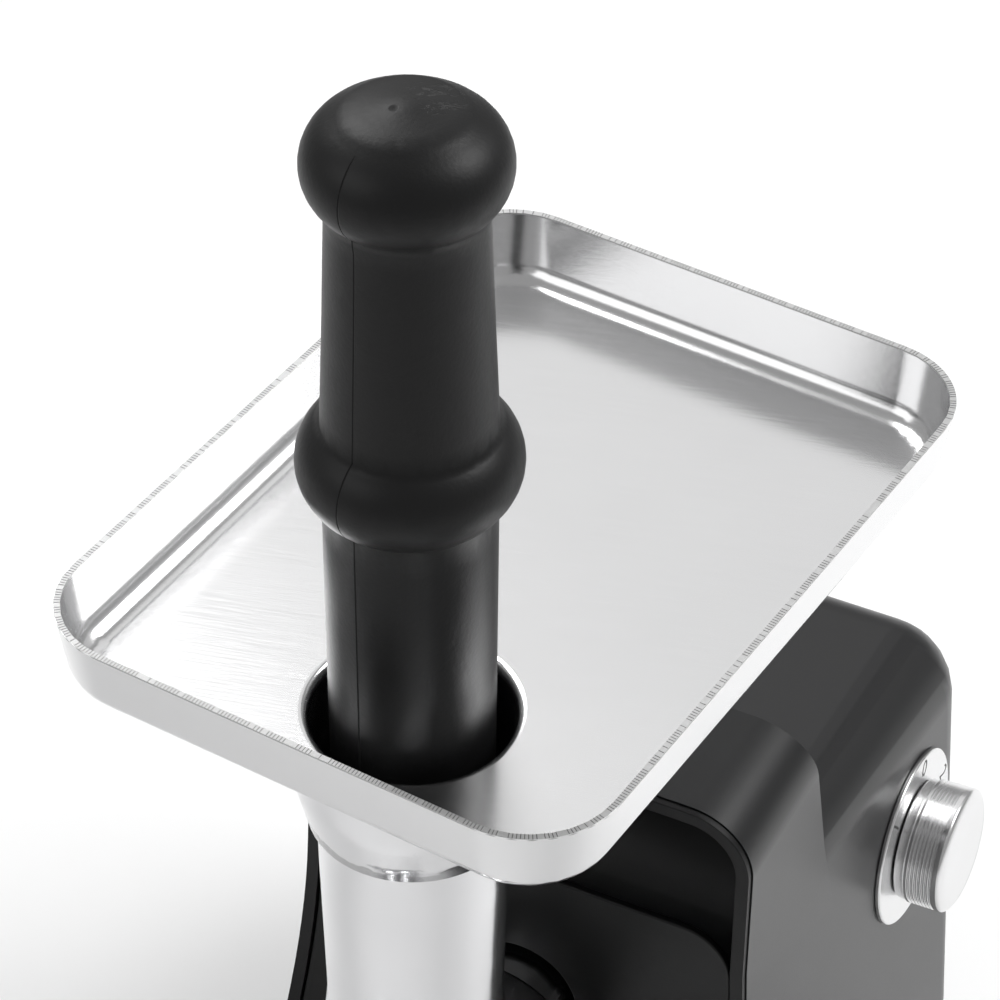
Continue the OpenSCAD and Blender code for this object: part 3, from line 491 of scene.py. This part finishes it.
def knob_rule():
    """Turned knob: plain foot, a band of grooves, a rounded front edge and a flat face."""
    t = Rule("grooved_knob")
    radius = t.size("Radius", KNOB_RADIUS)
    height = t.size("Height", KNOB_HEIGHT)
    foot = t.size("Foot Step", 0.6 * MM)
    foot_end = t.size("Foot Height", 3.2 * MM)
    count = t.size("Grooves", 7)
    start = t.size("First Groove", 4.2 * MM)
    pitch = t.size("Groove Pitch", 1.1 * MM)
    depth = t.size("Groove Depth", 0.5 * MM)
    slope = t.size("Groove Slope", 0.25 * MM)
    width = t.size("Groove Width", 0.85 * MM)
    nose = t.size("Nose Height", 1.6 * MM)
    nose_in = t.size("Nose Width", 2.2 * MM)
    skirt = t.size("Disc Share", 1.0 * MM)
    sides = t.size("Sides", 128)
    rows = t.size("Rows", 190)
    grid = t.node("GeometryNodeMeshGrid", None, Size_X=1.0, Size_Y=1.0, Vertices_X=sides, Vertices_Y=rows)
    x, y, _ = t.split(t.node("GeometryNodeInputPosition"))
    angle = (x + 0.5) * (2 * math.pi)
    along = (y + 0.5) * (height + skirt * 2.0) - skirt
    lift = t.least(t.most(along, 0.0), height)
    step = (lift - start) / pitch
    inside = t.share(step * STEEP) * t.share((step * -1.0 + count) * STEEP)
    across = t.most(step, 0.0) % 1.0 * pitch
    groove = t.share(t.least(across / slope, (width - across) / slope)) * inside * depth
    curve = t.share((lift - height + nose) / nose) ** 2.0 * nose_in
    foot_ring = t.share((foot_end - lift) / KNOB_FOOT_EDGE) * foot
    foot_cut = foot_ring + t.share(1.0 - lift / foot) * KNOB_FOOT_EDGE
    edge = radius - groove - curve - foot_cut
    disc = radius * (1.0 - t.share(along / skirt * -1.0) - t.share((along - height) / skirt))
    out = t.least(disc, edge)
    spot = t.node("ShaderNodeCombineXYZ", None, out * angle.maths("COSINE"), out * angle.maths("SINE"), lift)
    turned = t.node("GeometryNodeSetPosition", None, Geometry=grid, Position=spot)
    closed = t.node("GeometryNodeMergeByDistance", None, Geometry=turned, Distance=2e-6)
    smooth = t.node("GeometryNodeSetShadeSmooth", None, Geometry=closed)
    t.finish(smooth, FINISHES["control_metal"])
    return t


def outward(mesh):
    """Clears faces without area and turns all others outward."""
    work = bmesh.new()
    work.from_mesh(mesh)
    bmesh.ops.dissolve_degenerate(work, dist=1e-7, edges=work.edges)
    bmesh.ops.recalc_face_normals(work, faces=work.faces)
    work.to_mesh(mesh)
    work.free()
    return mesh


turn_joint = next(j for j in frame["record"]["behaviour"]["joints"] if j["name"] == "knob_turn")
side_out = Vector(turn_joint["axis"]).normalized()
side_down = Vector((side_out.z, 0.0, -side_out.x))
dial_turn = Matrix((side_down, (0, 1, 0), side_out)).transposed().to_4x4()
DIAL = Matrix.Translation(turn_joint["pos_m"]) @ dial_turn

knob_mesh = outward(knob_rule().made_mesh("knob_turned"))
knob_mesh.transform(DIAL @ Matrix.Translation((0, 0, KNOB_LIFT)))
settle(bpy.data.objects.new("knob_turned", knob_mesh), "knob_body", slot_of_node["knob"], ("knob",))


def numeral(digit, angle, height=7.6 * MM, reach=22.7 * MM):
    """A digit printed on the dial plate, its foot to the knob; the angle runs from up to the rear."""
    letter = bpy.data.curves.new("digit_" + digit, "FONT")
    letter.body = digit
    letter.size = height
    letter.align_x = "CENTER"
    letter.align_y = "CENTER"
    letter.extrude = 0.03 * MM
    writer = bpy.data.objects.new("writer", letter)
    bpy.context.scene.collection.objects.link(writer)
    seen = writer.evaluated_get(bpy.context.evaluated_depsgraph_get())
    mesh = bpy.data.meshes.new_from_object(seen)
    bpy.data.objects.remove(writer)
    mesh.transform(DIAL @ Matrix.Translation((0, 0, DIAL_TOP)) @ Matrix.Rotation(math.pi - angle, 4, "Z")
                   @ Matrix.Translation((reach, 0, 0)) @ Matrix.Rotation(-math.pi / 2, 4, "Z"))
    settle(bpy.data.objects.new("dial_digit_" + digit, mesh), "machine", "black_plastic", finish=INK)


for digit, degrees in DIGITS:
    numeral(digit, math.radians(degrees))


def rim_path(drop=0.0):
    """The middle of the tray's cut edge, as a closed run of points, let down by the drop."""
    points = []
    for quarter, (sx, sy) in enumerate(((1, 1), (-1, 1), (-1, -1), (1, -1))):
        centre_x = RIM_MIDDLE[0] + sx * (RIM_HALF[0] - RIM_CORNER)
        centre_y = RIM_MIDDLE[1] + sy * (RIM_HALF[1] - RIM_CORNER)
        for step in range(RIM_CORNER_STEPS + 1):
            a = math.radians(90 * quarter + 90 * step / RIM_CORNER_STEPS)
            points.append((centre_x + RIM_CORNER * math.cos(a), centre_y + RIM_CORNER * math.sin(a), 0.0))
    mesh = bpy.data.meshes.new("rim_path")
    mesh.from_pydata(points, [(i, (i + 1) % len(points)) for i in range(len(points))], [])
    mesh.transform(Matrix.Translation((0, TUBE_Y, RIM_Z - drop)) @ Matrix.Rotation(TRAY_TURN, 4, "Z"))
    return mesh


def rim_marks_rule():
    """Shear marks across the cut edge of the sheet, dark as painted shade of the grooves between them."""
    t = Rule("shear_marks", takes_shape=True)
    pitch = t.size("Pitch", 0.9 * MM)
    length = t.size("Mark Length", 1.5 * MM)
    radius = t.size("Mark Radius", 0.16 * MM)
    jitter = t.size("Unevenness", 0.3)
    missing = t.size("Missing Share", 0.2)
    seed = t.size("Seed", 7)
    line = t.node("GeometryNodeMeshToCurve", None, Mesh=t.shape())
    dots = t.node("GeometryNodeCurveToPoints", {"mode": "LENGTH"}, Curve=line, Length=pitch)
    tangent = Signal(t, dots.socket.node.outputs["Tangent"])
    facing = t.node("FunctionNodeAlignRotationToVector", {"axis": "X"}, Vector=tangent)
    rod = t.node("GeometryNodeMeshCylinder", None, Vertices=6, Radius=radius, Depth=length)
    lying = t.node("GeometryNodeTransform", None, Geometry=rod, Rotation=(math.pi / 2, 0.0, 0.0))
    kept = t.node("FunctionNodeRandomValue", {"data_type": "FLOAT"}, out=1)
    stretch = t.node("FunctionNodeRandomValue", {"data_type": "FLOAT"}, out=1)
    for chance, shift in ((kept, 0), (stretch, 11)):
        own = chance.socket.node
        t.feed(own.inputs[2], 0.0)
        t.feed(own.inputs[3], 1.0)
        t.feed(own.inputs["Seed"], seed + shift)
    wanted = t.node("FunctionNodeCompare", {"operation": "GREATER_THAN"}, kept, missing)
    scale = t.node("ShaderNodeCombineXYZ", None, 1.0 - stretch * jitter, 1.0, 0.6 + stretch * jitter)
    marks = t.node("GeometryNodeInstanceOnPoints", None, Points=dots, Selection=wanted, Instance=lying,
                   Rotation=facing, Scale=scale)
    t.finish(marks, BURR_PAINTED_SHADE)
    return t


def cut_edge_rule():
    """A thin band that lies on the tray's cut edge, for the grey sheared face of the sheet."""
    t = Rule("cut_edge", takes_shape=True)
    width = t.size("Band Width", 1.6 * MM)
    height = t.size("Band Height", 0.5 * MM)
    line = t.node("GeometryNodeMeshToCurve", None, Mesh=t.shape())
    profile = t.node("GeometryNodeCurvePrimitiveQuadrilateral", None, Width=width, Height=height)
    band = t.node("GeometryNodeCurveToMesh", None, line, profile)
    flat = t.node("GeometryNodeSetShadeSmooth", None, Geometry=band, Shade_Smooth=False)
    t.finish(flat, SHEARED)
    return t


band_mesh = outward(cut_edge_rule().made_mesh("cut_edge", rim_path(BAND_DROP)))
settle(bpy.data.objects.new("cut_edge", band_mesh), "tray_body", "tray_metal", finish=SHEARED)
marks_mesh = rim_marks_rule().made_mesh("rim_marks", rim_path())
settle(bpy.data.objects.new("rim_marks", marks_mesh), "tray_body", "tray_metal", finish=BURR_PAINTED_SHADE)


# ---------------------------------------------------------------- stage, light and camera


def plate(name, size):
    """A square sheet at the ground."""
    half = size / 2
    corners = [(-half, -half, 0), (half, -half, 0), (half, half, 0), (-half, half, 0)]
    mesh = bpy.data.meshes.new(name)
    mesh.from_pydata(corners, [], [(0, 1, 2, 3)])
    made = bpy.data.objects.new(name, mesh)
    bpy.context.scene.collection.objects.link(made)
    return made


floor = plate("floor", FLOOR_SIZE)
pale = Finish("pale_floor")
tone = pale.blend_colour(pale.noise(3.0), (0.90, 0.90, 0.90), (0.92, 0.92, 0.92))
floor.data.materials.append(pale.surface(tone, 0.7))

world = bpy.data.worlds.new("studio")
bpy.context.scene.world = world
bpy.context.scene.view_settings.view_transform = "Standard"
world.use_nodes = True
background = world.node_tree.nodes["Background"]
background.inputs["Color"].default_value = (1.0, 1.0, 1.0, 1.0)
background.inputs["Strength"].default_value = WORLD_GLOW


def softbox(name, location, target, size, power, spread=180):
    """An area light that the camera doesn't see; the spread is in degrees."""
    lamp = bpy.data.lights.new(name, "AREA")
    lamp.shape = "RECTANGLE"
    lamp.size, lamp.size_y = size
    lamp.energy = power
    lamp.spread = math.radians(spread)
    made = bpy.data.objects.new(name, lamp)
    made.location = location
    made.rotation_euler = (Vector(target) - Vector(location)).to_track_quat("-Z", "Y").to_euler()
    made.visible_camera = False
    bpy.context.scene.collection.objects.link(made)


# The boxes are what the polished metal mirrors; the keys light the ground and the dark body.
softbox("rear_box", (-1.05, 1.95, 2.15), (0, 0, 0.3), (2.4, 2.2), 7.9)
softbox("rear_right_box", (1.25, 1.55, 1.5), (0, 0, 0.3), (1.3, 1.2), 0.95)
softbox("front_left_box", (-1.25, -1.6, 1.5), (0, 0, 0.3), (1.9, 1.3), 7.6)
softbox("right_key", (0.95, 0.60, 1.40), (0.02, 0.38, 0.0), (0.8, 0.8), 5.0, 95)
softbox("left_key", (-0.95, 0.55, 1.50), (-0.1, 0.38, 0.0), (0.8, 0.8), 4.0, 95)

lens = bpy.data.cameras.new("camera")
lens.sensor_width = 36.0
lens.lens = CAMERA_LENS
lens.clip_start = 0.05
camera = bpy.data.objects.new("camera", lens)
camera.location = CAMERA_PLACE
camera.rotation_euler = [math.radians(a) for a in CAMERA_TURN]
bpy.context.scene.collection.objects.link(camera)
bpy.context.scene.camera = camera
